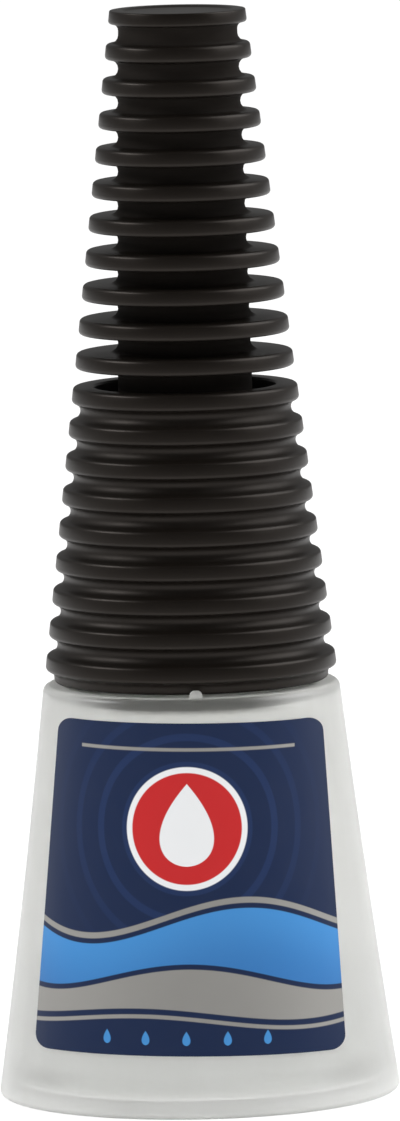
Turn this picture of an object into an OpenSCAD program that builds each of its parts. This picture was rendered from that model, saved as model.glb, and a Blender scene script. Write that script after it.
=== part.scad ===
// Small squeeze bottle of instant adhesive, standing on its wide foot.
// A ribbed collar screws on the bottle's neck and clamps a long dosing nozzle.
// A finned cap pulls off the collar, with a steel pin that keeps the nozzle's tip open.
// Millimetres, +Z up, origin at the centre of the foot, front of the bottle towards -Y.

/* [Bottle] */
// Height of the shoulder above the surface that the bottle stands on
shoulder_h = 32.3; // [28:0.1:40]
// Diameter at the foot, measured to the sharp corner
foot_d = 31.46; // [28:0.02:36]
// How far the shoulder stands out past the collar's lowest band
shoulder_step = 0.8; // [0.6:0.1:1.6]
// How far the side hollows in from a straight line
side_sag = 0.14; // [0:0.02:0.4]
// Round of the foot's edge
foot_round = 0.45; // [0.2:0.05:1.5]
// Round of the shoulder's edge
shoulder_round = 0.55; // [0.2:0.05:1.4]
// Thickness of the bottle's wall
bottle_wall = 1.2; // [0.8:0.1:1.8]
// Thickness of the shoulder's plate over the hollow
shoulder_wall = 0.85; // [0.6:0.05:1.6]
// Round of the corners inside the bottle
inside_round = 0.8; // [0.4:0.1:2.5]
// Height of the recessed panel under the bottle
push_up = 1.1; // [0.4:0.1:1.6]
// Width of the slope round the recessed panel
push_slope = 2.2; // [1:0.1:4]
// Width of the ring that the bottle stands on
foot_ring = 2.6; // [1.8:0.1:4]

/* [Neck] */
// Diameter over the neck's thread
thread_d = 13; // [12:0.1:14]
// Depth of the thread
thread_depth = 0.65; // [0.4:0.05:0.9]
// Height of the neck above the shoulder
neck_h = 11.4; // [9:0.1:13]
// Thickness of the neck's wall under the thread
neck_wall = 1.75; // [1.2:0.05:2.2]
// Round of the neck's rim
neck_round = 0.3; // [0.1:0.05:0.6]
// Fillet between the neck and the shoulder
neck_fillet = 0.6; // [0.2:0.1:0.7]

/* [Lug on the shoulder] */
// Width of the index lug round the bottle
lug_w = 1; // [0.6:0.1:2]
// Thickness of the lug, outwards
lug_t = 0.45; // [0.3:0.05:0.7]
// Height of the lug above the shoulder
lug_h = 0.6; // [0.4:0.1:1]
// Round of the lug's upper corners
lug_round = 0.4; // [0.05:0.05:0.5]
// Gap between the lug and the collar's band
lug_gap = 0.15; // [0.1:0.05:0.3]
// Turn of the lug from the front of the bottle, in degrees
lug_turn = 4.7; // [-20:0.1:20]

/* [Label] */
// Thickness of the label's film
label_t = 0.1; // [0.06:0.02:0.2]
// Layer of adhesive under the film
label_gap = 0.03; // [0.02:0.01:0.06]
// Width of the label's upper edge, measured round the bottle
label_head_w = 24.4; // [14:0.1:28]
// Width of the label's lower edge, measured round the bottle
label_foot_w = 28.05; // [16:0.05:32]
// Height of the label's lower edge above the surface
label_foot_gap = 4.9; // [3:0.1:10]
// Distance of the label's upper edge below the shoulder
label_head_gap = 1.95; // [1.6:0.05:8]
// Round of the label's corners
label_round = 1.1; // [0.2:0.1:3]

/* [Adhesive] */
// Level of the liquid above the surface that the bottle stands on
fill_h = 10.2; // [6:0.1:20]
// Gap between the liquid and the bottle's wall
fill_gap = 0.05; // [0.02:0.01:0.1]

/* [Collar] */
// Height of the collar
collar_h = 23.17; // [21:0.01:26]
// Gap between the collar and the shoulder
collar_lift = 0.2; // [0.1:0.05:0.5]
// Diameter over the lowest rib
collar_foot_d = 22.66; // [21.5:0.02:25]
// Diameter over the rib at the rim
collar_rim_d = 17.66; // [17:0.02:19]
// Number of ribs
rib_count = 9; // [5:1:11]
// Depth of the grooves between the ribs
rib_depth = 0.75; // [0.3:0.05:1]
// Width of a rib's crest
rib_crest = 1.1; // [0.6:0.05:1.3]
// Width of a rib's root
rib_root = 1.75; // [1.35:0.05:1.95]
// Round of the ribs' edges
rib_round = 0.55; // [0.1:0.05:0.6]
// Height of the lowest rib's middle above the collar's foot
band_h = 1.58; // [1.2:0.02:2]
// Height of the rim above the middle of the top rib
rim_h = 0.65; // [0.58:0.01:0.9]
// Thickness of the skirt behind the grooves
collar_wall = 1.3; // [0.9:0.1:1.6]
// Thickness of the sleeve that screws on the neck
sleeve_wall = 1.1; // [0.8:0.1:1.4]
// Height of the sleeve's end above the collar's foot
sleeve_lift = 1.6; // [1:0.1:3]
// Height of the pocket between the sleeve and the skirt
pocket_h = 10.5; // [4:0.1:11.5]
// Thickness of the web over the nozzle's flange
web_t = 2.2; // [1.6:0.1:3]
// Thickness of the rim round the well, to the crest of its rib
rim_wall = 1.73; // [1.2:0.01:2.2]
// How far the tube inside the well widens from the cap's seat to the web
tube_flare = 0.9; // [0.4:0.1:1.2]
// Thickness of the spigot that the cap pushes over
spigot_wall = 0.7; // [0.5:0.05:0.9]
// Height of the spigot above the cap's seat
spigot_h = 4.7; // [3:0.1:6]

/* [Nozzle] */
// Thickness of the flange on the neck's rim
flange_t = 1.2; // [0.8:0.1:1.8]
// Length of the plug in the neck's bore
plug_h = 5; // [3:0.1:8]
// Thickness of the plug's wall
plug_wall = 1.05; // [0.8:0.05:1.6]
// Width of the flange that the collar clamps
flange_lip = 0.85; // [0.6:0.05:1.2]
// Diameter of the nozzle at the foot of its long taper
nozzle_root_d = 6.2; // [5.4:0.1:7]
// Thickness of the nozzle's wall at the foot of its long taper
nozzle_wall = 1.1; // [0.8:0.05:1.5]
// Diameter of the nozzle's tip
tip_d = 2.3; // [2:0.1:2.8]
// Length of the fine bore below the tip
tip_bore_h = 7.7; // [3:0.1:12]
// Round of the tip's edge
tip_round = 0.2; // [0.05:0.05:0.3]

/* [Cap] */
// Height of the cap
cap_h = 32.2; // [28:0.1:36]
// Depth of the cap's seat below the collar's rim
cap_sink = 2.87; // [2:0.01:4]
// Number of fins
fin_count = 11; // [6:1:12]
// Thickness of a fin
fin_t = 1.25; // [0.8:0.05:1.4]
// Thickness of the top fin
crown_fin_t = 1.05; // [0.8:0.05:1.4]
// Diameter of the top fin, at its middle
fin_crown_d = 10.72; // [10:0.02:12]
// Diameter of the lowest fin, at its middle
fin_foot_d = 17; // [14:0.02:18]
// Gap between the collar's rim and the lowest fin
fin_lift = 1.4; // [0.6:0.05:2.5]
// Round of the fins' edges
fin_round = 0.3; // [0.05:0.05:0.4]
// Round of the crown's edge
crown_round = 0.2; // [0.05:0.05:0.5]
// Round of the gaps' inner corners
gap_round = 0.55; // [0.1:0.05:0.6]
// Diameter of the cap's core at the crown
core_crown_d = 9.22; // [8.6:0.02:10]
// Diameter of the cap's core at its seat
core_foot_d = 10.6; // [10:0.02:11]
// Thickness of the crown
crown_t = 3.2; // [2.6:0.1:5]

/* [Pin] */
// Diameter of the pin
pin_d = 0.76; // [0.5:0.02:0.8]
// Length of the pin
pin_l = 14; // [8:0.5:18]
// Thickness of the crown over the pin
pin_cover = 0.8; // [0.4:0.1:1.2]
// Round of the pin's free end
pin_round = 0.2; // [0.05:0.05:0.24]

/* [Fits] */
// Radial gap of a piece that slides or turns in another
fit_gap = 0.05; // [0.02:0.01:0.1]
// Gap over a face that is clamped or sealed
seat_gap = 0.05; // [0.02:0.01:0.1]
// Radial gap between the thread and the sleeve
thread_gap = 0.1; // [0.05:0.05:0.2]
// Room between the nozzle and the collar
nozzle_play = 0.35; // [0.2:0.05:0.5]
// Room between the nozzle and the cap
cap_play = 0.65; // [0.3:0.05:0.8]
// Radial gap between the pin and the tip's bore
pin_play = 0.12; // [0.05:0.01:0.2]
// Gap between the spigot's end and the step inside the cap
mouth_gap = 0.2; // [0.1:0.05:0.5]
// Radial gap of a piece that is pressed in for good
press_gap = 0.01; // [0.01:0.01:0.02]

/* [Hidden] */
$fn = 96;
// Steps of the bottle's hollow side
side_steps = 8;
// Radius that adds a step to a rounded corner, and the fewest steps of one
round_step = 0.3;
round_least = 2;
// Overlap that lets a cut run clear of a face
past = 1;

// Heights of the stack, from the foot up
foot_z = shoulder_h + collar_lift;
rim_z = foot_z + collar_h;
neck_z = shoulder_h + neck_h;
flange_z = neck_z + flange_t;
ledge_z = flange_z + seat_gap;
seat_z = rim_z - cap_sink;
spigot_z = seat_z + spigot_h;
mouth_z = spigot_z + mouth_gap;
cap_z = seat_z + cap_h;
crown_z = cap_z - crown_t;
tip_z = crown_z - seat_gap;

// Ribs of the collar: the crests lie on one cone, the grooves on another inside it
rib_pitch = (collar_h - band_h - rim_h) / (rib_count - 1);
rib_taper = (collar_foot_d - collar_rim_d) / 2 / (rib_pitch * (rib_count - 1));
function rib_z(i) = foot_z + band_h + i * rib_pitch;
function crest_r(z) = collar_foot_d / 2 - (z - rib_z(0)) * rib_taper;
function groove_r(z) = crest_r(z) - rib_depth;

// Fins of the cap, counted from the lowest: their edges lie on one cone
fin_foot_h = cap_sink + fin_lift + fin_t / 2;
fin_pitch = (cap_h - crown_fin_t / 2 - fin_foot_h) / (fin_count - 1);
function fin_z(i) = seat_z + fin_foot_h + i * fin_pitch;
function fin_r(z) = (fin_foot_d + (fin_crown_d - fin_foot_d) * (z - fin_z(0)) / (fin_z(fin_count - 1) - fin_z(0))) / 2;
function core_r(z) = (core_foot_d + (core_crown_d - core_foot_d) * (z - seat_z) / cap_h) / 2;

// Side of the bottle: a shallow hollow curve from the foot to the shoulder
foot_r = foot_d / 2;
shoulder_r = groove_r(foot_z) + shoulder_step;
function side_r(z) =
    let (t = z / shoulder_h)
    foot_r + (shoulder_r - foot_r) * t - 4 * side_sag * t * (1 - t);

// Radii of the fits
neck_r = thread_d / 2 - thread_depth;
neck_bore_r = neck_r - neck_wall;
sleeve_bore_r = thread_d / 2 + thread_gap;
sleeve_r = sleeve_bore_r + sleeve_wall;
plug_r = neck_bore_r - fit_gap;
nozzle_base_r = neck_r - flange_lip;
nozzle_root_r = nozzle_root_d / 2;
tip_r = tip_d / 2;
tip_bore_r = pin_d / 2 + pin_play;
spigot_bore_r = nozzle_root_r + nozzle_play;
spigot_r = spigot_bore_r + spigot_wall;
mouth_r = spigot_r + fit_gap;
well_r = collar_rim_d / 2 - rim_wall;
function taper_r(z) = nozzle_root_r + (tip_r - nozzle_root_r) * (z - seat_z) / (tip_z - seat_z);
pin_z = cap_z - pin_cover;

// Rounded outlines: each point is [r, z, radius of its corner]
function flat(p) = [p[0], p[1]];
function unit(v) = v / norm(v);
function corner(a, b, c) =
    let (
        p = flat(b),
        u = unit(flat(a) - p),
        v = unit(flat(c) - p),
        half = acos(max(-1, min(1, u * v))) / 2,
        room = min(norm(flat(a) - p), norm(flat(c) - p)) / 2 * tan(half),
        radius = min(b[2], room),
        reach = radius / tan(half),
        middle = p + unit(u + v) * radius / sin(half),
        first = p + u * reach - middle,
        last = p + v * reach - middle,
        sweep = 180 - 2 * half,
        steps = max(round_least, ceil(radius / round_step))
    )
    [for (i = [0:steps])
        let (t = i / steps)
        middle + (first * sin((1 - t) * sweep) + last * sin(t * sweep)) / sin(sweep)];
function rounded(points) =
    let (n = len(points))
    [for (i = [0:n - 1])
        each points[i][2] > 0
            ? corner(points[(i + n - 1) % n], points[i], points[(i + 1) % n])
            : [flat(points[i])]];

// Turned solid of a rounded outline
module turned(points) {
    rotate_extrude()
        polygon(rounded(points));
}

// Straight rod from one height to another
module rod(r, z0, z1) {
    translate([0, 0, z0])
        cylinder(r = r, h = z1 - z0);
}

// Points along the bottle's side between two heights, moved outwards
function side_points(z0, z1, out) =
    [for (i = [0:side_steps])
        let (z = z0 + (z1 - z0) * i / side_steps)
        [side_r(z) + out, z, 0]];

// Points of the recessed panel inside the foot ring, from the axis outwards
function panel_points(z, radius) = [
    [0, z + push_up, 0],
    [foot_r - foot_ring - push_slope, z + push_up, radius],
    [foot_r - foot_ring, z, radius]
];

// Hollow of the bottle, drawn in by a gap
module cavity(gap) {
    inner = bottle_wall + gap;
    roof_z = shoulder_h - shoulder_wall - gap;
    turned(concat(
        panel_points(inner, inside_round),
        [[side_r(inner) - inner, inner, inside_round]],
        side_points(inner + 2 * inside_round, roof_z - 2 * inside_round, -inner),
        [[side_r(roof_z) - inner, roof_z, inside_round]],
        [[0, roof_z, 0]]
    ));
}

// Index lug on the shoulder's edge, a rounded tab just outside the collar's band
module lug() {
    inside_r = groove_r(foot_z) + lug_gap;
    root_z = shoulder_h - shoulder_wall / 2;
    rotate([0, 0, lug_turn])
        translate([0, -inside_r, 0])
            rotate([90, 0, 0])
                linear_extrude(height = lug_t)
                    polygon(rounded([
                        [-lug_w / 2, root_z, 0],
                        [lug_w / 2, root_z, 0],
                        [lug_w / 2, shoulder_h + lug_h, lug_round],
                        [-lug_w / 2, shoulder_h + lug_h, lug_round]
                    ]));
}

module bottle() {
    color("whitesmoke")
        difference() {
            union() {
                turned(concat(
                    panel_points(0, foot_round),
                    [[foot_r, 0, foot_round]],
                    side_points(2 * foot_round, shoulder_h - 2 * shoulder_round, 0),
                    [[shoulder_r, shoulder_h, shoulder_round]],
                    [[neck_r, shoulder_h, neck_fillet]],
                    [[neck_r, neck_z, neck_round]],
                    [[0, neck_z, 0]]
                ));
                lug();
            }
            cavity(0);
            rod(neck_bore_r, shoulder_h - shoulder_wall - past, neck_z + past);
        }
}

module glue() {
    color("aliceblue")
        intersection() {
            cavity(fill_gap);
            rod(foot_r, 0, fill_h);
        }
}

// Half the width, seen from the front, of a strip that is wrapped round the bottle
function across(width, z) = side_r(z) * sin(width / 2 / side_r(z) * 180 / PI);

// Film on the front of the bottle, cut to a rounded outline
module label() {
    label_z0 = label_foot_gap;
    label_z1 = shoulder_h - label_head_gap;
    foot_x = across(label_foot_w, label_z0);
    head_x = across(label_head_w, label_z1);
    inside = side_points(label_z0 - past, label_z1 + past, label_gap);
    outside = side_points(label_z1 + past, label_z0 - past, label_gap + label_t);
    color("midnightblue")
        intersection() {
            rotate_extrude()
                polygon(rounded(concat(inside, outside)));
            rotate([90, 0, 0])
                linear_extrude(height = foot_d)
                    polygon(rounded([
                        [-foot_x, label_z0, label_round],
                        [foot_x, label_z0, label_round],
                        [head_x, label_z1, label_round],
                        [-head_x, label_z1, label_round]
                    ]));
        }
}

module nozzle() {
    plug_z = neck_z - plug_h;
    fine_z = tip_z - tip_bore_h;
    color("ivory")
        difference() {
            turned([
                [0, plug_z, 0],
                [plug_r, plug_z, neck_round],
                [plug_r, neck_z, 0],
                [neck_r, neck_z, 0],
                [neck_r, flange_z, neck_round],
                [nozzle_base_r, flange_z, 0],
                [nozzle_root_r, seat_z, 0],
                [tip_r, tip_z, tip_round],
                [0, tip_z, 0]
            ]);
            turned([
                [0, plug_z - past, 0],
                [plug_r - plug_wall, plug_z - past, 0],
                [plug_r - plug_wall, neck_z, 0],
                [nozzle_root_r - nozzle_wall, seat_z, 0],
                [tip_bore_r, fine_z, 0],
                [tip_bore_r, tip_z + past, 0],
                [0, tip_z + past, 0]
            ]);
        }
}

// Ribbed outside of the collar, solid to the axis
module collar_outside() {
    top = rib_count - 1;
    ribs = [for (i = [0:top])
        let (
            z = rib_z(i),
            head = i < top ? rib_crest / 2 : rim_h
        )
        each concat(
            [[groove_r(z - rib_root / 2), z - rib_root / 2, rib_round]],
            [[crest_r(z - rib_crest / 2), z - rib_crest / 2, rib_round]],
            [[crest_r(z + head), z + head, rib_round]],
            i < top ? [[groove_r(z + rib_root / 2), z + rib_root / 2, rib_round]] : []
        )];
    turned(concat(
        [[0, foot_z, 0]],
        [[groove_r(foot_z), foot_z, rib_round]],
        ribs,
        [[0, rim_z, 0]]
    ));
}

// Well that the cap's foot stands in, round the tube that carries the spigot
module well() {
    floor_z = ledge_z + web_t;
    seat_r = core_foot_d / 2;
    difference() {
        rod(well_r, floor_z, rim_z + past);
        translate([0, 0, floor_z])
            cylinder(r1 = seat_r + tube_flare, r2 = seat_r, h = seat_z - floor_z);
        rod(spigot_r, floor_z, spigot_z);
    }
}

// Pocket between the sleeve and the skirt, open at the foot
module pocket() {
    mouth = foot_z - past;
    roof = foot_z + pocket_h;
    difference() {
        translate([0, 0, mouth])
            cylinder(r1 = groove_r(mouth) - collar_wall, r2 = groove_r(roof) - collar_wall, h = roof - mouth);
        rod(sleeve_r, foot_z + sleeve_lift, roof + past);
    }
}

module collar() {
    color("black")
        difference() {
            union() {
                collar_outside();
                rod(spigot_r, seat_z, spigot_z);
            }
            well();
            pocket();
            rod(sleeve_bore_r, foot_z - past, ledge_z);
            translate([0, 0, ledge_z])
                cylinder(r1 = nozzle_base_r + nozzle_play, r2 = spigot_bore_r, h = seat_z - ledge_z);
            rod(spigot_bore_r, seat_z - past, spigot_z + past);
        }
}

// Finned outside of the cap, solid to the axis
module cap_outside() {
    top = fin_count - 1;
    fins = [for (i = [0:top])
        let (
            z = fin_z(i),
            half = (i < top ? fin_t : crown_fin_t) / 2
        )
        each concat(
            [[core_r(z - half), z - half, gap_round]],
            [[fin_r(z - half), z - half, fin_round]],
            [[fin_r(z + half), z + half, i < top ? fin_round : crown_round]],
            i < top ? [[core_r(z + half), z + half, gap_round]] : []
        )];
    turned(concat(
        [[0, seat_z, 0]],
        [[core_r(seat_z), seat_z, fin_round]],
        fins,
        [[0, cap_z, 0]]
    ));
}

module cap() {
    color("black")
        difference() {
            cap_outside();
            rod(mouth_r, seat_z - past, mouth_z);
            translate([0, 0, mouth_z])
                cylinder(r1 = taper_r(mouth_z) + cap_play, r2 = tip_r + cap_play, h = crown_z - mouth_z);
            rod(pin_d / 2 + press_gap, crown_z - past, pin_z);
        }
}

module pin() {
    color("silver")
        turned([
            [0, pin_z - pin_l, 0],
            [pin_d / 2, pin_z - pin_l, pin_round],
            [pin_d / 2, pin_z, 0],
            [0, pin_z, 0]
        ]);
}

bottle();
glue();
label();
nozzle();
collar();
cap();
pin();
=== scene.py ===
import math

import bmesh
import bpy
from mathutils import Matrix, Vector


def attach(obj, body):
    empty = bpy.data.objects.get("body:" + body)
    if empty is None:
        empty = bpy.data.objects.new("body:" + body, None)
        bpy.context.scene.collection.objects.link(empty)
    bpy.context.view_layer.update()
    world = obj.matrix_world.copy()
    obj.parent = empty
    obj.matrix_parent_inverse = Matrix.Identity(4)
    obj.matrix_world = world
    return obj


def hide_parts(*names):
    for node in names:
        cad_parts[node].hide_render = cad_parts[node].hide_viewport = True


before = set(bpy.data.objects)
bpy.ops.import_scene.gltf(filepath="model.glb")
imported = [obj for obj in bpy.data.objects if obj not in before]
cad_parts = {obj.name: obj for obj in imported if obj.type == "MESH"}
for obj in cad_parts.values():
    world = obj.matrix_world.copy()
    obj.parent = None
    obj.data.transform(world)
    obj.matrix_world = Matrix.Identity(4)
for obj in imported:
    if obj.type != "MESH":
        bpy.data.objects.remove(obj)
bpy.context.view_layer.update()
mm = 0.001
hair = 1e-7     # metres; points nearer than this lie together
levels = {"neckTop": 43.7, "capSeat": 52.8, "pinTop": 84.2}     # heights that pieces share, in mm
print("frame:", ", ".join(sorted(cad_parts)))


# modelling

def clearSelection():
    if bpy.context.mode != "OBJECT":
        bpy.ops.object.mode_set(mode="OBJECT")
    bpy.ops.object.select_all(action="DESELECT")


def take(piece):
    clearSelection()
    piece.select_set(True)
    bpy.context.view_layer.objects.active = piece


def apply(piece, kind, **settings):
    take(piece)
    modifier = piece.modifiers.new(kind, kind)
    for name, value in settings.items():
        setattr(modifier, name, value)
    bpy.ops.object.modifier_apply(modifier=modifier.name)


def reach(before, corner, after):
    # how far a corner's round runs along its two edges: at most its share of each, half unless it is given
    here = Vector(corner[:2])
    back, on = Vector(before[:2]) - here, Vector(after[:2]) - here
    half = back.angle(on) / 2
    backShare, onShare = corner[3:] or (0.5, 0.5)
    return min(corner[2] / math.tan(half), back.length * backShare, on.length * onShare)


def drawOutline(name, corners, closed):
    # one vertex, walked round the section from corner to corner: (radius, height, round) in mm
    clearSelection()
    bpy.ops.mesh.primitive_plane_add(size=mm)
    piece = bpy.context.object
    piece.name = piece.data.name = name
    bpy.ops.object.mode_set(mode="EDIT")
    bpy.ops.mesh.merge(type="CENTER")
    points = [Vector((corner[0], 0, corner[1])) * mm for corner in corners]
    bpy.ops.transform.translate(value=points[0])
    for here, there in zip(points, points[1:]):
        bpy.ops.mesh.extrude_vertices_move(TRANSFORM_OT_translate={"value": there - here})
    if closed:
        outline = bmesh.from_edit_mesh(piece.data)
        for vertex in outline.verts:
            vertex.select = min((vertex.co - points[0]).length, (vertex.co - points[-1]).length) < hair
        bmesh.update_edit_mesh(piece.data)
        bpy.ops.mesh.edge_face_add()
    bpy.ops.object.mode_set(mode="OBJECT")
    return piece, points


def roundCorners(piece, points, corners, closed, segments=4):
    count = len(corners)
    reaches = [0.0] * count
    for i, corner in enumerate(corners):
        inner = closed or 0 < i < count - 1
        if corner[2] > 0 and inner:
            reaches[i] = reach(corners[i - 1], corner, corners[(i + 1) % count])
    widest = max(reaches)
    weights = piece.data.attributes.new("bevel_weight_vert", "FLOAT", "POINT")
    for vertex in piece.data.vertices:
        nearest = min(range(count), key=lambda i: (points[i] - vertex.co).length)
        weights.data[vertex.index].value = reaches[nearest] / widest
    apply(
        piece, "BEVEL", affect="VERTICES", limit_method="WEIGHT",
        width=widest * mm, segments=segments, use_clamp_overlap=False,
    )


def closeUp():
    bpy.ops.mesh.select_all(action="SELECT")
    bpy.ops.mesh.remove_doubles(threshold=2 * hair)
    bpy.ops.mesh.normals_make_consistent(inside=False)


def spinRound(piece, steps):
    take(piece)
    bpy.ops.object.mode_set(mode="EDIT")
    bpy.ops.mesh.select_all(action="SELECT")
    bpy.ops.mesh.spin(steps=steps, angle=math.tau, center=(0, 0, 0), axis=(0, 0, 1), use_auto_merge=True)
    closeUp()
    bpy.ops.object.mode_set(mode="OBJECT")


def turn(name, corners, steps, closed=False):
    # a turned piece: the outline's corners are rounded, then it is spun about the bottle's axis
    piece, points = drawOutline(name, corners, closed)
    roundCorners(piece, points, corners, closed)
    spinRound(piece, steps)
    return piece


def smooth(piece, angle=40):
    take(piece)
    bpy.ops.object.shade_smooth_by_angle(angle=math.radians(angle))
    apply(piece, "WEIGHTED_NORMAL", mode="FACE_AREA", weight=70, keep_sharp=True)


def unite(piece, other):
    apply(piece, "BOOLEAN", operation="UNION", solver="EXACT", object=other)
    bpy.data.objects.remove(other)


def fit(piece, body, node, slot, *finishes):
    piece.data.materials.clear()
    for finish in finishes:
        piece.data.materials.append(finish)
    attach(piece, body)
    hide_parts(node)
    print("piece:", piece.name, len(piece.data.polygons), "faces on", body)


# shader maths

class Strand:
    # one socket of a node tree; sums of strands add Math nodes
    def __init__(self, tree, socket=None):
        self.tree, self.socket = tree, socket

    def add(self, kind, settings=None, inputs=None, output=0):
        node = self.tree.nodes.new("ShaderNode" + kind)
        for name, value in (settings or {}).items():
            setattr(node, name, value)
        for name, value in (inputs or {}).items():
            if isinstance(value, Strand):
                self.tree.links.new(value.socket, node.inputs[name])
            else:
                node.inputs[name].default_value = value
        return Strand(self.tree, node.outputs[output])

    def maths(self, operation, *values):
        return self.add("Math", {"operation": operation}, dict(enumerate(values)))

    def __add__(self, other):
        return self.maths("ADD", self, other)

    def __radd__(self, other):
        return self.maths("ADD", other, self)

    def __sub__(self, other):
        return self.maths("SUBTRACT", self, other)

    def __rsub__(self, other):
        return self.maths("SUBTRACT", other, self)

    def __mul__(self, other):
        return self.maths("MULTIPLY", self, other)

    def __rmul__(self, other):
        return self.maths("MULTIPLY", other, self)

    def __truediv__(self, other):
        return self.maths("DIVIDE", self, other)

    def __abs__(self):
        return self.maths("ABSOLUTE", self)

    def sine(self):
        return self.maths("SINE", self)

    def root(self):
        return self.maths("SQRT", self.maths("MAXIMUM", self, 0.0))

    def most(self, other):
        return self.maths("MAXIMUM", self, other)

    def least(self, other):
        return self.maths("MINIMUM", self, other)

    def fade(self, low, high):
        # 0 at low, 1 at high, soft between
        soft = {"interpolation_type": "SMOOTHSTEP"}
        return self.add("MapRange", soft, {0: self, 1: low, 2: high, 3: 0.0, 4: 1.0})

    def mix(self, first, second):
        # this strand as the mask between two colours
        return self.add("Mix", {"data_type": "RGBA"}, {0: self, 6: first, 7: second}, 2)

    def blend(self, first, second):
        # this strand as the mask between two shaders
        return self.add("MixShader", None, {0: self, 1: first, 2: second})

    def axes(self):
        return [self.add("SeparateXYZ", None, {0: self}, i) for i in range(3)]

    def noise(self, scale, detail=2.0, roughness=0.5):
        inputs = {"Vector": self, "Scale": scale, "Detail": detail, "Roughness": roughness}
        return self.add("TexNoise", None, inputs)

    def stretched(self, x, y, z):
        return self.add("Mapping", None, {"Vector": self, "Scale": (x, y, z)})

    def bump(self, strength, distance):
        return self.add("Bump", None, {"Strength": strength, "Distance": distance, "Height": self})


def newFinish(name, **constants):
    material = bpy.data.materials.new(name)
    material.use_nodes = True
    shader = material.node_tree.nodes["Principled BSDF"]
    for socket, value in constants.items():
        shader.inputs[socket.replace("_", " ")].default_value = value
    start = Strand(material.node_tree)
    return material, shader, start, start.add("TexCoord", output="Object")


def feed(shader, **strands):
    for socket, strand in strands.items():
        strand.tree.links.new(strand.socket, shader.inputs[socket.replace("_", " ")])


# bottle: squeeze bottle with a flared side, a neck with a thread and a lug on the shoulder

bottle = {
    "height": 32.3,
    "footRadius": 15.73,
    "shoulderRadius": 11.569,
    "sag": 0.14,            # how far the side hollows in
    "footRound": 0.45,
    "shoulderRound": 0.55,
    "insideRound": 0.8,
    "wall": 1.2,
    "shoulderWall": 0.85,
    "panelHeight": 1.1,     # recessed panel under the foot
    "panelRadius": 10.93,
    "ringRadius": 13.13,    # inner edge of the ring it stands on
    "neckRadius": 5.85,
    "neckTop": levels["neckTop"],
    "neckFillet": 0.6,
    "neckRound": 0.3,
    "boreRadius": 4.1,
    "boreRound": 0.15,
    "sideRows": 20,
    "steps": 192,
}
screwThread = {
    "lead": 2.117,          # 12 threads to the inch
    "turns": 2.75,
    "start": 35.3,
    "height": 0.65,
    "sunk": 0.05,           # of the ridge's root in the wall
    "foot": 1.0,            # width at the ridge's root
    "crest": 0.4,
    "stepsInTurn": 64,
}
lug = {
    "width": 1.0,
    "thickness": 0.45,
    "low": 31.875,
    "high": 32.9,
    "inside": 10.919,       # its inner face, from the axis
    "turn": 4.7,
    "corner": (0.4, 6),     # round and its segments
    "edge": (0.1, 3),
}


def sideRadius(z):
    t = z / bottle["height"]
    straight = bottle["footRadius"] + (bottle["shoulderRadius"] - bottle["footRadius"]) * t
    return straight - 4 * bottle["sag"] * t * (1 - t)


def sideRows(low, high, out, rows):
    heights = [low + (high - low) * i / rows for i in range(rows + 1)]
    return [(sideRadius(z) + out, z, 0) for z in heights]


def makeThread(name, root, crest, start):
    half, tip = screwThread["foot"] / 2, screwThread["crest"] / 2
    corners = [
        (root, start - half, 0), (crest, start - tip, 0),
        (crest, start + tip, 0), (root, start + half, 0),
    ]
    ridge, _ = drawOutline(name, corners, True)
    turns = screwThread["turns"]
    steps = round(screwThread["stepsInTurn"] * turns)
    rise = screwThread["lead"] * turns * mm
    apply(
        ridge, "SCREW", axis="Z", angle=math.tau * turns, screw_offset=rise,
        steps=steps, render_steps=steps,
    )
    take(ridge)
    bpy.ops.object.mode_set(mode="EDIT")
    bpy.ops.mesh.select_all(action="SELECT")
    bpy.ops.mesh.fill_holes(sides=4)
    closeUp()
    bpy.ops.object.mode_set(mode="OBJECT")
    return ridge


def isUpperCorner(edge):
    # the two upper edges that run outwards
    a, b = (vertex.co for vertex in edge.verts)
    return min(a.z, b.z) > 0 and abs(a.y - b.y) > abs(a.x - b.x)


def isFrontEdge(edge):
    # the rim of the outer face, but not its root
    a, b = (vertex.co for vertex in edge.verts)
    front = -lug["thickness"] / 2 * mm
    foot = -(lug["high"] - lug["low"]) / 2 * mm
    return abs(a.y - front) < hair and abs(b.y - front) < hair and max(a.z, b.z) > foot + hair


def makeLug():
    # rounded tab that stands just outside the collar's band
    clearSelection()
    bpy.ops.mesh.primitive_cube_add(size=mm)
    nub = bpy.context.object
    bpy.ops.object.mode_set(mode="EDIT")
    bpy.ops.transform.resize(value=(lug["width"], lug["thickness"], lug["high"] - lug["low"]))
    for (width, segments), chosen in ((lug["corner"], isUpperCorner), (lug["edge"], isFrontEdge)):
        mesh = bmesh.from_edit_mesh(nub.data)
        for edge in mesh.edges:
            edge.select_set(False)
        for edge in mesh.edges:
            if chosen(edge):
                edge.select_set(True)
        bmesh.update_edit_mesh(nub.data)
        bpy.ops.mesh.bevel(offset=width * mm, segments=segments, affect="EDGES")
    bpy.ops.object.mode_set(mode="OBJECT")
    turned, radius = math.radians(lug["turn"]), lug["inside"] + lug["thickness"] / 2
    middle = (lug["low"] + lug["high"]) / 2
    nub.location = Vector((math.sin(turned) * radius, -math.cos(turned) * radius, middle)) * mm
    nub.rotation_euler.z = turned
    take(nub)
    bpy.ops.object.transform_apply(location=True, rotation=True, scale=True)
    return nub


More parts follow.
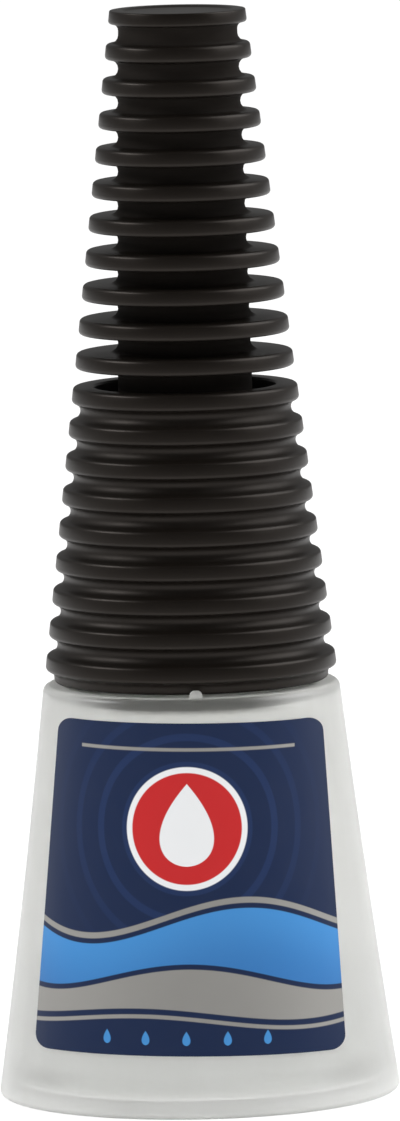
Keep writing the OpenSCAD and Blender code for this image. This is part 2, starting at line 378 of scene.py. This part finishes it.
def makeBottle():
    b = bottle
    wall, top = b["wall"], b["height"]
    roof = top - b["shoulderWall"]
    panel, panelRadius, ring = b["panelHeight"], b["panelRadius"], b["ringRadius"]
    neck, neckTop, bore = b["neckRadius"], b["neckTop"], b["boreRadius"]
    foot, shoulder, within = b["footRound"], b["shoulderRound"], b["insideRound"]
    outside = [(0, panel, 0), (panelRadius, panel, foot), (ring, 0, foot), (b["footRadius"], 0, foot)]
    outside += sideRows(2 * foot, top - 2 * shoulder, 0, b["sideRows"])
    outside += [
        (b["shoulderRadius"], top, shoulder),
        (neck, top, b["neckFillet"]), (neck, neckTop, b["neckRound"]),
    ]
    inside = [
        (bore, neckTop, b["boreRound"]), (bore, roof, b["neckRound"]),
        (sideRadius(roof) - wall, roof, within),
    ]
    inside += sideRows(roof - 2 * within, wall + 2 * within, -wall, b["sideRows"])
    inside += [(sideRadius(wall) - wall, wall, within), (ring, wall, within)]
    inside += [(panelRadius, wall + panel, within), (0, wall + panel, 0)]
    shell = turn("bottleShell", outside + inside, b["steps"])
    unite(shell, makeLug())
    root, crest = neck - screwThread["sunk"], neck + screwThread["height"]
    unite(shell, makeThread("neckThread", root, crest, screwThread["start"]))
    smooth(shell)
    return shell


frosted = {
    "index": 1.5,
    "through": 0.72,                        # share of the light that passes
    "thick": (0.89, 0.893, 0.866, 1),
    "thin": (0.985, 0.988, 0.968, 1),
    "footTop": (0.0008, 0.0026),            # metres; the thick foot is milkier up to here
    "footMilk": (0.27, 0.08),               # share in front, and what the sides add
    # painted shade: the shoulder's clear band shows the dark collar through it, standing in for the shade
    # the collar casts there
    "shadeBandFrom": (0.0095, 0.0105),         # from the axis
    "shadeBandBelow": (0.0019, 0.0008),        # below the shoulder
    "shadeBandEnd": 0.0001,                    # how softly it ends at the shoulder
    "sidesFrom": (0.0045, 0.0095),         # across: towards the sides the painted shade fades out, as more light falls there
    "shadeBandShare": (0.94, 0.76),            # share in front, and what the sides lose
    # milk that lightens the band's sides: painted light where the side lamps fall
    "shadeBandSideMilk": 0.18,
}


def frostedPlastic():
    f = frosted
    index, top = f["index"], bottle["height"] * mm
    finish, shader, start, place = newFinish("frostedPlastic", IOR=index, Transmission_Weight=f["through"])
    cloud = place.noise(260.0, 3.0, 0.55)
    grain = place.noise(9000.0, 2.0, 0.6)
    flow = place.stretched(1.0, 1.0, 0.12).noise(900.0, 2.0)     # faint moulding streaks up the side
    x, y, z = place.axes()
    patchy = (cloud * 0.6 + flow * 0.4).fade(0.3, 0.7)
    thin = (1.0 - z / top).most(0.0) * 0.5 + patchy * 0.5     # blown thinner towards the foot
    colour = thin.mix(f["thick"], f["thin"])
    relief = (grain * 0.5 + flow).bump(0.12, 0.00003)
    feed(shader, Base_Color=colour, Roughness=0.25 + cloud * 0.06 + grain * 0.04, Normal=relief)
    common = {"Base Color": colour, "IOR": index, "Normal": relief}
    milk = start.add("BsdfPrincipled", None, {**common, "Roughness": 0.4 + cloud * 0.1})
    clear = {"Roughness": 0.28 + cloud * 0.04, "Transmission Weight": 1.0}
    shadeBandClear = start.add("BsdfPrincipled", None, {**common, **clear})
    # painted shade: a clear band at the shoulder's edge lets the dark collar show through, standing in for
    # the shade under the collar; towards the sides it is milkier, as more light falls there
    low, high = f["shadeBandBelow"]
    side = abs(x).fade(*f["sidesFrom"])
    edge = z.fade(top - low, top - high) * (1.0 - z.fade(top, top + f["shadeBandEnd"]))
    edge = edge * (x * x + y * y).root().fade(*f["shadeBandFrom"])
    foot = (1.0 - z.fade(*f["footTop"])) * (f["footMilk"][0] + side * f["footMilk"][1])
    surface = (foot + edge * side * f["shadeBandSideMilk"]).blend(Strand(start.tree, shader.outputs[0]), milk)
    surface = (edge * (f["shadeBandShare"][0] - side * f["shadeBandShare"][1])).blend(surface, shadeBandClear)
    start.tree.links.new(surface.socket, start.tree.nodes["Material Output"].inputs[0])
    return finish


fit(makeBottle(), "bottle", "bottle", "translucent_plastic", frostedPlastic())


# adhesive: clear liquid with a raised edge where it wets the wall

adhesive = {
    "level": 10.2,
    "dip": 0.3,             # of the middle below the edge
    "edge": (2.0, 0.8),     # where the raised edge begins and turns up, from the wall
    "lift": 0.06,           # at the turn
    "edgeRound": 0.3,
    "gap": 0.05,
    "rows": 8,
    "steps": 128,
}


def makeAdhesive():
    a = adhesive
    inset = bottle["wall"] + a["gap"]
    level, middle = a["level"], a["level"] - a["dip"]
    wet = sideRadius(level) - inset
    begin, bend = a["edge"]
    floor, within = inset + bottle["panelHeight"], bottle["insideRound"]
    corners = [(0, middle, 0), (wet - begin, middle, 0)]
    corners += [(wet - bend, middle + a["lift"], a["edgeRound"]), (wet, level, 0)]
    corners += sideRows(level - 2 * a["edgeRound"], inset + 2 * within, -inset, a["rows"])
    corners += [(sideRadius(inset) - inset, inset, within), (bottle["ringRadius"], inset, within)]
    corners += [(bottle["panelRadius"], floor, within), (0, floor, 0)]
    liquid = turn("adhesiveCharge", corners, a["steps"])
    smooth(liquid)
    return liquid


def clearLiquid():
    finish, shader, start, place = newFinish("clearLiquid", IOR=1.44, Transmission_Weight=0.95)
    haze = place.noise(180.0, 2.0)
    colour = haze.fade(0.35, 0.65).mix((0.93, 0.95, 0.95, 1), (0.97, 0.98, 0.98, 1))
    feed(shader, Base_Color=colour, Roughness=0.02 + haze * 0.03)
    return finish


fit(makeAdhesive(), "bottle", "glue", "adhesive", clearLiquid())


# label: printed film wrapped on the front

label = {
    "low": 4.9,
    "high": 30.45,
    "bow": 0.17,            # the ends of its edges run lower than its middle
    "footHalf": 12.08,      # half widths as seen from the front
    "headHalf": 10.16,
    "tilt": 0.9,            # laid on a degree off the bottle's axis
    "round": (1.1, 8),      # of the corners, and its segments
    "gap": 0.03,
    "thickness": 0.1,
    "columns": 48,
    "rows": 40,
    "cutBeyond": 0.3,       # of the outermost columns past the film
    "ahead": 20,            # where the flat film is cut, in front of the axis
    "formBeyond": (1, 0.8),     # of the form below and above the film
    "formRows": 24,
    "formSteps": 512,
    "printWidth": 27.4,     # the flat film, in mm
    "printHeight": 25.45,
}


def makeSideForm():
    # smooth form of the bottle's side that the film is wrapped on
    below, above = label["formBeyond"]
    rows = sideRows(label["low"] - below, label["high"] + above, label["gap"], label["formRows"])
    form, _ = drawOutline("sideForm", rows, False)
    spinRound(form, label["formSteps"])
    return form


def cutAcross(places, axis):
    normal = Vector((0, 0, 0))
    normal[axis] = 1
    for place in places:
        point = Vector((0, 0, 0))
        point[axis] = place * mm
        bpy.ops.mesh.select_all(action="SELECT")
        bpy.ops.mesh.bisect(plane_co=point, plane_no=normal)


def tilted(across, up, degrees):
    # turned clockwise, as seen from the front
    turned = math.radians(degrees)
    cosine, sine = math.cos(turned), math.sin(turned)
    return across * cosine + up * sine, up * cosine - across * sine


def layPrint(film):
    # the print's place is measured round the bottle, as on the flat film
    sheet = film.data.uv_layers.new(name="print")
    for loop in film.data.loops:
        x, y, z = film.data.vertices[loop.vertex_index].co / mm
        along = math.atan2(x, -y) * math.hypot(x, y)
        across, up = tilted(along, z - (label["low"] + label["high"]) / 2, -label["tilt"])
        sheet.data[loop.index].uv = (0.5 + across / label["printWidth"], 0.5 + up / label["printHeight"])


def makeLabel():
    low, high = label["low"], label["high"]
    middle = (low + high) / 2
    clearSelection()
    place = (0, -label["ahead"] * mm, middle * mm)
    bpy.ops.mesh.primitive_plane_add(size=mm, location=place, rotation=(math.pi / 2, 0, 0))
    film = bpy.context.object
    film.name = film.data.name = "labelFilm"
    bpy.ops.object.transform_apply(location=True, rotation=True, scale=True)
    bpy.ops.object.mode_set(mode="EDIT")
    outline = bmesh.from_edit_mesh(film.data)
    for vertex in outline.verts:    # cut to the film's tapered outline
        upper = vertex.co.z > middle * mm
        half = label["headHalf"] if upper else label["footHalf"]
        rise = (high - low) / 2 * (1 if upper else -1)
        across, up = tilted(math.copysign(half, vertex.co.x), rise, label["tilt"])
        vertex.co.x, vertex.co.z = across * mm, (middle + up) * mm
    bmesh.update_edit_mesh(film.data)
    bpy.ops.mesh.select_all(action="SELECT")
    corner, segments = label["round"]
    bpy.ops.mesh.bevel(offset=corner * mm, segments=segments, affect="VERTICES")
    widest, columns, rows = label["footHalf"] + label["cutBeyond"], label["columns"], label["rows"]
    cutAcross([widest * math.sin(math.pi * (i / columns - 0.5)) for i in range(1, columns)], 0)
    cutAcross([low + (high - low) * i / rows for i in range(rows + 1)], 2)
    bpy.ops.object.mode_set(mode="OBJECT")
    for vertex in film.data.vertices:
        vertex.co.z -= label["bow"] * mm * (vertex.co.x / (label["footHalf"] * mm)) ** 2
    form = makeSideForm()
    apply(
        film, "SHRINKWRAP", target=form, wrap_method="PROJECT", use_project_y=True,
        use_positive_direction=True, use_negative_direction=False,
    )
    bpy.data.objects.remove(form)
    layPrint(film)
    take(film)
    bpy.ops.object.mode_set(mode="EDIT")
    bpy.ops.mesh.select_all(action="SELECT")
    bpy.ops.mesh.normals_make_consistent(inside=False)
    bpy.ops.object.mode_set(mode="OBJECT")
    if film.data.polygons[0].normal.y > 0:
        film.data.flip_normals()
    apply(
        film, "SOLIDIFY", thickness=label["thickness"] * mm, offset=1.0,
        use_even_offset=True, material_offset_rim=1,
    )
    for face in film.data.polygons:     # the back of the film is white
        if face.normal.dot(Vector((face.center.x, face.center.y, 0))) < 0:
            face.material_index = 1
    smooth(film, 50)
    return film


inks = {
    "navy": (0.0085, 0.0205, 0.066, 1),
    "navyLight": (0.013, 0.031, 0.1, 1),
    "sky": (0.055, 0.262, 0.61, 1),
    "skyDeep": (0.035, 0.18, 0.47, 1),
    "silver": (0.40, 0.39, 0.37, 1),
    "red": (0.56, 0.018, 0.02, 1),
    "white": (0.84, 0.85, 0.86, 1),
}
artwork = {
    "soft": 0.05,               # of an ink's edge; lengths in mm on the flat film
    "wave": 0.24,               # radians to the mm
    "crest": (0.5, 1.5, 10.6),      # start, swing and height of the three wave lines
    "trough": (1.5, 1.1, 5.9),
    "foot": (2.3, 0.55, 3.0),
    "line": 0.45,               # silver line on the crest
    "gap": 0.4,                 # navy between two fields
    "skyDepth": 6.0,            # from the crest down to the deeper blue
    "thinLine": (0.75, 0.45),   # below the foot's wave
    "rule": (23.35, 23.6, 9.0),     # lower and upper edge, half width
    "sealHeight": 17.4,
    "seal": 4.3,
    "ring": 4.75,
    "tear": (2.9, 2.15, 6.4),       # how far below the seal's middle, width and height
    "ripple": 2.9,              # radians to the mm
    "rippleEdge": (0.55, 0.8),      # levels of the sine where a ring begins and is full
    "rippleEnds": (6.0, 13.0),
    "drops": (-6.4, -3.2, 0.0, 3.2, 6.4),
    "drop": (0.75, 0.36, 1.15),
}


def printedFilm():
    a = artwork
    finish, shader, start, place = newFinish(
        "printedFilm", IOR=1.5, Specular_IOR_Level=0.34, Coat_Weight=0.12, Coat_Roughness=0.12,
    )
    u, v, _ = start.add("UVMap", {"uv_map": "print"}).axes()
    x = (u - 0.5) * label["printWidth"]
    y = v * label["printHeight"]
    soft = a["soft"]

    def above(line):
        return (y - line).fade(-soft, soft)

    def between(low, high):
        return above(low) * (1.0 - above(high))

    def waveLine(begin, swing, height):
        return (x * a["wave"] + begin).sine() * swing + height

    def drop(cx, low, width, height):
        t = ((y - low) / height).most(0.0).least(1.0)
        fullest = 2.6     # brings the greatest of root(t) * (1 - t) up to one
        half = t.root() * (1.0 - t) * (fullest * width)
        return (half - abs(x - cx)).fade(0.0, 2 * soft)

    crest, trough, foot = waveLine(*a["crest"]), waveLine(*a["trough"]), waveLine(*a["foot"])
    up = y - a["sealHeight"]
    far = (x * x + up * up).root()
    rings = (far * a["ripple"]).sine().fade(*a["rippleEdge"])
    ripple = rings * (1.0 - far.fade(*a["rippleEnds"])) * above(crest)
    crestLine = between(crest - a["line"], crest)
    sky = between(trough, crest - (a["line"] + a["gap"]))
    silver = between(foot, trough - a["gap"])
    thinLow, thinHigh = a["thinLine"]
    thin = between(foot - thinLow, foot - thinHigh)
    ruleLow, ruleHigh, ruleHalf = a["rule"]
    rule = between(ruleLow, ruleHigh) * (ruleHalf - abs(x)).fade(-soft, soft)
    tearBelow, tearWidth, tearHeight = a["tear"]

    colour = ripple.mix(inks["navy"], inks["navyLight"])
    colour = crestLine.mix(colour, inks["silver"])
    colour = sky.mix(colour, ((crest - y) / a["skyDepth"]).fade(0.0, 1.0).mix(inks["sky"], inks["skyDeep"]))
    for field in (silver, thin, rule):
        colour = field.mix(colour, inks["silver"])
    colour = (a["ring"] - far).fade(-soft, soft).mix(colour, inks["white"])
    colour = (a["seal"] - far).fade(-soft, soft).mix(colour, inks["red"])
    colour = drop(0.0, a["sealHeight"] - tearBelow, tearWidth, tearHeight).mix(colour, inks["white"])
    for cx in a["drops"]:
        colour = drop(cx, *a["drop"]).mix(colour, inks["sky"])

    mottle = place.noise(700.0, 3.0)
    metal = (silver + thin + rule + crestLine).least(1.0)
    feed(
        shader,
        Base_Color=colour,
        Metallic=metal * 0.55,
        Roughness=0.26 + mottle * 0.1 + metal * 0.08,
        Normal=(place.noise(1500.0, 2.0) * 0.6 + mottle).bump(0.05, 0.00004),
    )
    return finish


def filmEdge():
    finish, shader, start, place = newFinish("filmEdge", IOR=1.5)
    fibre = place.noise(4000.0, 2.0)
    colour = fibre.fade(0.3, 0.7).mix((0.62, 0.63, 0.65, 1), (0.8, 0.81, 0.82, 1))
    feed(shader, Base_Color=colour, Roughness=0.4 + fibre * 0.15)
    return finish


fit(makeLabel(), "bottle", "label", "printed_film", printedFilm(), filmEdge())


# nozzle: long dosing spout with a plug, a flange and a fine bore

nozzle = {
    "plug": (4.05, 38.7, levels["neckTop"]),    # radius, lower and upper end
    "plugRounds": (0.3, 0.05),          # at these ends
    "flange": (bottle["neckRadius"], 44.9),
    "flangeRounds": (0.08, 0.3),        # of its lower and upper edge
    "baseRadius": 5.0,
    "baseRound": 0.3,
    "root": (3.1, levels["capSeat"]),   # foot of the long taper
    "rootRound": 1.5,
    "tip": (1.15, 81.75),
    "tipRound": 0.2,
    "bore": (3.0, 2.0, 0.5),            # in the plug, at the root and at the tip
    "boreRounds": (0.15, 0.6, 1.0, 0.4, 0.08),      # from the plug's end to the tip
    "fineFrom": 74.05,
    "steps": 96,
}


def makeNozzle():
    n = nozzle
    plugRadius, plugLow, rim = n["plug"]
    plugRound, rimRound = n["plugRounds"]
    flangeRadius, flangeTop = n["flange"]
    flangeLow, flangeHigh = n["flangeRounds"]
    rootRadius, rootHeight = n["root"]
    tipRadius, tipHeight = n["tip"]
    plugBore, rootBore, fineBore = n["bore"]
    endRound, rimBend, rootBend, fineBend, tipEdge = n["boreRounds"]
    outside = [
        (plugRadius, plugLow, plugRound), (plugRadius, rim, rimRound),
        (flangeRadius, rim, flangeLow), (flangeRadius, flangeTop, flangeHigh),
        (n["baseRadius"], flangeTop, n["baseRound"]),
        (rootRadius, rootHeight, n["rootRound"]), (tipRadius, tipHeight, n["tipRound"]),
    ]
    inside = [
        (fineBore, tipHeight, tipEdge), (fineBore, n["fineFrom"], fineBend),
        (rootBore, rootHeight, rootBend), (plugBore, rim, rimBend), (plugBore, plugLow, endRound),
    ]
    spout = turn("nozzleSpout", outside + inside, n["steps"], closed=True)
    smooth(spout)
    return spout


def waxyPlastic():
    finish, shader, start, place = newFinish(
        "waxyPlastic", IOR=1.5, Subsurface_Weight=0.12, Subsurface_Scale=0.001,
    )
    cloud = place.noise(320.0, 3.0)
    grain = place.stretched(1.0, 1.0, 0.2).noise(6000.0, 2.0)
    colour = cloud.fade(0.3, 0.7).mix((0.58, 0.58, 0.54, 1), (0.68, 0.68, 0.65, 1))
    relief = (grain + cloud * 0.3).bump(0.1, 0.00002)
    feed(shader, Base_Color=colour, Roughness=0.36 + cloud * 0.12, Normal=relief)
    return finish


fit(makeNozzle(), "nozzle", "nozzle", "natural_plastic", waxyPlastic())


# collar: ribbed screw collar with a threaded sleeve, a well and a spigot

collar = {
    "foot": 32.5,
    "rim": 55.67,
    "footRadius": 11.33,    # over the lowest rib
    "rimRadius": 8.83,
    "ribs": 9,
    "firstRib": 34.08,
    "pitch": 2.6175,
    "depth": 0.75,
    "crest": 1.1,
    "root": 1.75,
    "round": 0.3,           # of the ribs
    "rootRound": 0.64,      # of the grooves between them
    "rimAbove": 0.65,
    "skirt": 1.3,
    "skirtEdge": 0.15,
    "wellRadius": 7.1,
    "wellFloor": 47.15,
    "tube": (6.2, 5.3),     # radius at the well's floor and at the cap's seat
    "seat": levels["capSeat"],
    "spigot": (4.15, 3.45, 57.5),       # radius, bore and top
    "ledge": (5.35, 44.95),
    "sleeve": (6.6, 7.7, 34.1),         # bore, radius and lower end
    "pocketTop": 43.0,
    "fillet": 0.3,          # in the well, the pocket and the bore
    "edge": 0.2,            # of the well, the spigot and the sleeve
    "fineEdge": 0.1,        # at the seat, the spigot's bore and the ledge
    "grooveRough": 0.38,
    "steps": 160,
}


def collarSlope():
    return (collar["footRadius"] - collar["rimRadius"]) / (collar["pitch"] * (collar["ribs"] - 1))


def crestRadius(z):
    return collar["footRadius"] - (z - collar["firstRib"]) * collarSlope()


def makeCollar():
    c = collar
    deep, foot, pocket, ledge = c["depth"], c["foot"], c["pocketTop"], c["ledge"][1]
    corners = [(crestRadius(foot) - deep, foot, c["round"])]
    for i in range(c["ribs"]):
        z = c["firstRib"] + i * c["pitch"]
        last = i == c["ribs"] - 1
        low, high = z - c["root"] / 2, z + c["root"] / 2
        crestLow, crestHigh = z - c["crest"] / 2, z + (c["rimAbove"] if last else c["crest"] / 2)
        corners += [(crestRadius(low) - deep, low, c["rootRound"])]
        corners += [(crestRadius(end), end, c["round"]) for end in (crestLow, crestHigh)]
        corners += [] if last else [(crestRadius(high) - deep, high, c["rootRound"])]
    spigot, spigotBore, spigotTop = c["spigot"]
    bore, sleeve, sleeveEnd = c["sleeve"]
    well, floor, seat = c["wellRadius"], c["wellFloor"], c["seat"]
    fillet, edge, fine = c["fillet"], c["edge"], c["fineEdge"]
    corners += [
        (well, c["rim"], edge), (well, floor, fillet), (c["tube"][0], floor, fillet),
        (c["tube"][1], seat, fine), (spigot, seat, fine), (spigot, spigotTop, edge),
        (spigotBore, spigotTop, fine), (spigotBore, seat, fillet), (c["ledge"][0], ledge, fine),
        (bore, ledge, fine), (bore, sleeveEnd, edge), (sleeve, sleeveEnd, edge), (sleeve, pocket, fillet),
        (crestRadius(pocket) - deep - c["skirt"], pocket, fillet),
        (crestRadius(foot) - deep - c["skirt"], foot, c["skirtEdge"]),
    ]
    ring = turn("collarRibbed", corners, c["steps"], closed=True)
    root, crest = bore + screwThread["sunk"], bore - screwThread["height"]
    unite(ring, makeThread("sleeveThread", root, crest, screwThread["start"] + screwThread["lead"] / 2))
    smooth(ring)
    return ring


blacks = {
    "dark": (0.0062, 0.0047, 0.0036, 1),
    "light": (0.0095, 0.0075, 0.006, 1),
    "sheen": (1, 0.89, 0.81, 1),
    "sheenLevel": 0.31,
    "crestRough": 0.32,
    "topEdge": (0.0005, 0.0002),        # metres below the top, handled as much as the crests
}


def blackMoulding(name, crestAt, crestSlope, depth, topAt, grooveRough):
    # satin black; the crests are a little polished by fingers and the grooves hold a trace of dust
    finish, shader, start, place = newFinish(
        name, IOR=1.48, Specular_IOR_Level=blacks["sheenLevel"], Specular_Tint=blacks["sheen"],
    )
    x, y, z = place.axes()
    fromCrest = (x * x + y * y).root() - (crestAt * mm - z * crestSlope)
    low, high = (topAt * mm - below for below in blacks["topEdge"])
    outward = (fromCrest / (depth * mm) + 1.0).fade(0.0, 1.0).most(z.fade(low, high))
    cloud = place.noise(210.0, 3.0)
    grain = place.noise(11000.0, 2.0, 0.6)
    ring = place.stretched(0.15, 0.15, 1.0).noise(5200.0, 2.0)
    dust = (1.0 - outward) * cloud.fade(0.45, 0.75)
    feed(
        shader,
        Base_Color=(cloud * 0.4 + dust * 0.2).mix(blacks["dark"], blacks["light"]),
        Roughness=grooveRough - outward * (grooveRough - blacks["crestRough"]) + cloud * 0.08 + dust * 0.1,
        Normal=(grain * 0.6 + ring * 0.4).bump(0.1, 0.00003),
    )
    return finish


def collarBlack():
    return blackMoulding(
        "collarMoulding", crestRadius(0), collarSlope(), collar["depth"],
        collar["rim"], collar["grooveRough"],
    )


fit(makeCollar(), "collar", "collar", "collar_plastic", collarBlack())


# cap: finned pull-off cap over the spigot and the nozzle

cap = {
    "seat": levels["capSeat"],
    "top": 85.0,
    "fins": 11,
    "lowestFin": 57.695,    # middle of the lowest fin
    "pitch": 2.678,
    "thickness": 1.25,
    "crownThickness": 1.05,
    "footRadius": 8.5,      # the fins' edges lie on one cone
    "crownRadius": 5.36,
    "core": (5.3, 4.61),    # radius at the seat and at the crown
    "round": 0.3,
    "crownRound": 0.12,
    "gapRound": 0.7,
    "gapShare": 0.68,       # of a fin's face, for the round at its root
    "mouth": (4.2, 57.7),
    "mouthRounds": (0.15, 0.1),     # at the seat and at its upper end
    "bore": (3.41, 1.8, 81.8),      # radius above the mouth and under the crown, and its upper end
    "boreRounds": (0.2, 0.3),
    "pinHole": (0.39, levels["pinTop"]),
    "pinHoleRounds": (0.08, 0.05),
    "dish": (4.1, 0.14),    # shallow recess in the crown
    "dishEdge": (0.3, 0.12),        # width of its slope and its round
    "handled": (0.6, 0.55),         # where the fins are polished, out from the core, and over what width
    "grooveRough": 0.8,
    "steps": 144,
}


def coreSlope():
    return (cap["core"][0] - cap["core"][1]) / (cap["top"] - cap["seat"])


def coreRadius(z):
    return cap["core"][0] - (z - cap["seat"]) * coreSlope()


def finRadius(z):
    slope = (cap["footRadius"] - cap["crownRadius"]) / (cap["pitch"] * (cap["fins"] - 1))
    return cap["footRadius"] - (z - cap["lowestFin"]) * slope


def makeCap():
    c = cap
    dishRadius, dishDepth = c["dish"]
    slope, edge = c["dishEdge"]
    dish = c["top"] - dishDepth
    corners = [(0, dish, 0), (dishRadius, dish, edge), (dishRadius + slope, c["top"], edge)]
    inner, outer = c["gapShare"], 1 - c["gapShare"]
    for i in reversed(range(c["fins"])):
        last = i == c["fins"] - 1
        z = c["lowestFin"] + i * c["pitch"]
        half = (c["crownThickness"] if last else c["thickness"]) / 2
        upper = (c["crownRound"], 0.5, 0.5) if last else (c["round"], outer, 0.5)
        lower = (c["round"], 0.5, outer)
        corners += [] if last else [(coreRadius(z + half), z + half, c["gapRound"], 0.5, inner)]
        corners += [(finRadius(z + half), z + half) + upper, (finRadius(z - half), z - half) + lower]
        corners += [(coreRadius(z - half), z - half, c["gapRound"], inner, 0.5)]
    seat, (mouth, mouthTop) = c["seat"], c["mouth"]
    mouthEdge, mouthRound = c["mouthRounds"]
    boreLow, boreHigh, boreTop = c["bore"]
    boreEdge, boreRound = c["boreRounds"]
    hole, holeTop = c["pinHole"]
    holeEdge, holeRound = c["pinHoleRounds"]
    corners += [
        (coreRadius(seat), seat, c["round"]), (mouth, seat, mouthEdge), (mouth, mouthTop, mouthRound),
        (boreLow, mouthTop, boreEdge), (boreHigh, boreTop, boreRound),
        (hole, boreTop, holeEdge), (hole, holeTop, holeRound), (0, holeTop, 0),
    ]
    top = turn("capFinned", corners, c["steps"])
    smooth(top)
    return top


def capBlack():
    out, width = cap["handled"]
    return blackMoulding(
        "capMoulding", coreRadius(0) + out, coreSlope(), width, cap["top"], cap["grooveRough"],
    )


fit(makeCap(), "cap", "cap", "cap_plastic", capBlack())


# pin: drawn steel wire in the cap's crown

pin = {"radius": 0.38, "low": 70.2, "high": levels["pinTop"], "round": 0.2, "cutRound": 0.04, "steps": 32}


def makePin():
    radius, low, high = pin["radius"], pin["low"], pin["high"]
    corners = [(0, low, 0), (radius, low, pin["round"]), (radius, high, pin["cutRound"]), (0, high, 0)]
    wire = turn("pinWire", corners, pin["steps"])
    smooth(wire)
    return wire


def drawnSteel():
    finish, shader, start, place = newFinish("drawnSteel", Metallic=1.0)
    drawn = place.stretched(1.0, 1.0, 0.02).noise(9000.0, 2.0)
    colour = drawn.mix((0.5, 0.5, 0.51, 1), (0.66, 0.66, 0.67, 1))
    feed(shader, Base_Color=colour, Roughness=0.2 + drawn * 0.15, Normal=drawn.bump(0.15, 0.00001))
    return finish


fit(makePin(), "cap", "pin", "pin_steel", drawnSteel())


# studio: pale floor, white surround, two soft boxes and the camera

studio = {
    "surround": 0.72,       # plain level for everything that isn't seen straight
    "front": 0.03,          # what reflections see on the camera's side and behind
    "behind": 0.24,
    "turnsOver": (-0.3, 0.35),      # from the one to the other
    "floorSize": 6.0,
    "floorShade": 0.4,      # share of the floor's own shading that shows
    "floorWhite": 1.25,     # brings the open floor up to white
    "floorGloss": 0.4,      # share of that white in reflections
    "floorThrough": 0.8,    # and through the bottle
    "boxAim": 42,           # height that the soft boxes face
    "boxes": {
        "leftBox": {"azimuth": -80, "elevation": 34, "distance": 0.75, "size": (0.42, 0.22), "power": 2.1},
        "rightBox": {"azimuth": 96, "elevation": 38, "distance": 0.75, "size": (0.7, 0.62), "power": 3.8},
    },
}
camera = {
    "distance": 1.0,
    "azimuth": 3.0,
    "elevation": 6.5,
    "roll": -1.21,
    "aimHeight": 41.78,
    "aimRight": 0.87,
    "lens": 410.7,
    "sensor": 36,
    "clip": (0.05, 20),
}


def outFrom(azimuth, elevation):
    a, e = math.radians(azimuth), math.radians(elevation)
    return Vector((math.sin(a) * math.cos(e), -math.cos(a) * math.cos(e), math.sin(e)))


def rayKinds(start):
    kinds = ("Is Camera Ray", "Is Glossy Ray", "Is Transmission Ray")
    return [start.add("LightPath", output=kind) for kind in kinds]


def emptyTree(holder):
    holder.use_nodes = True
    holder.node_tree.nodes.clear()
    return Strand(holder.node_tree)


def show(strand, output):
    end = strand.tree.nodes.new("ShaderNode" + output)
    strand.tree.links.new(strand.socket, end.inputs[0])


def makeFloor():
    clearSelection()
    bpy.ops.mesh.primitive_plane_add(size=studio["floorSize"])
    floor = bpy.context.object
    floor.name = floor.data.name = "floor"
    material = bpy.data.materials.new("paleFloor")
    start = emptyTree(material)
    direct, glossy, through = rayKinds(start)
    seen = direct.most(glossy * studio["floorGloss"]) * (1 - studio["floorShade"])
    speck = start.add("TexCoord", output="Object").noise(40.0)
    pale = start.add("BsdfDiffuse", None, {"Color": speck.mix((0.86, 0.86, 0.86, 1), (0.9, 0.9, 0.9, 1))})
    white = start.add("Emission", None, {"Color": (1, 1, 1, 1), "Strength": studio["floorWhite"]})
    show(seen.most(through * studio["floorThrough"]).blend(pale, white), "OutputMaterial")
    floor.data.materials.append(material)


def makeSurround():
    world = bpy.data.worlds.new("surround")
    bpy.context.scene.world = world
    start = emptyTree(world)
    direct, glossy, through = rayKinds(start)
    _, depth, _ = start.add("TexCoord", output="Generated").axes()
    behind = depth.fade(*studio["turnsOver"])
    seenGloss = glossy * (behind * (studio["behind"] - studio["front"]) + studio["front"])
    straight = direct.most(through)
    level = straight.most(seenGloss).most((1.0 - straight.most(glossy)) * studio["surround"])
    show(start.add("Background", None, {"Color": (1, 1, 1, 1), "Strength": level}), "OutputWorld")


def makeBoxes():
    target = Vector((0, 0, studio["boxAim"] * mm))
    for name, box in studio["boxes"].items():
        lamp = bpy.data.lights.new(name, "AREA")
        lamp.shape = "RECTANGLE"
        lamp.size, lamp.size_y = box["size"]
        lamp.energy = box["power"]
        holder = bpy.data.objects.new(name, lamp)
        bpy.context.scene.collection.objects.link(holder)
        away = outFrom(box["azimuth"], box["elevation"])
        holder.location = target + away * box["distance"]
        holder.rotation_euler = (-away).to_track_quat("-Z", "Y").to_euler()


def makeCamera():
    c = camera
    turned = math.radians(c["azimuth"])
    right = Vector((math.cos(turned), math.sin(turned), 0))
    aim = Vector((0, 0, c["aimHeight"] * mm)) + right * c["aimRight"] * mm
    away = outFrom(c["azimuth"], c["elevation"])
    data = bpy.data.cameras.new("camera")
    data.sensor_width, data.lens = c["sensor"], c["lens"]
    data.clip_start, data.clip_end = c["clip"]
    holder = bpy.data.objects.new("camera", data)
    bpy.context.scene.collection.objects.link(holder)
    aimed = (-away).to_track_quat("-Z", "Y").to_matrix().to_4x4()
    rolled = aimed @ Matrix.Rotation(math.radians(c["roll"]), 4, "Z")
    holder.matrix_world = Matrix.Translation(aim + away * c["distance"]) @ rolled
    bpy.context.scene.camera = holder


makeFloor()
makeSurround()
makeBoxes()
makeCamera()
bpy.context.scene.view_settings.view_transform = "Standard"
print("studio: floor, surround, soft boxes and camera")

clearSelection()
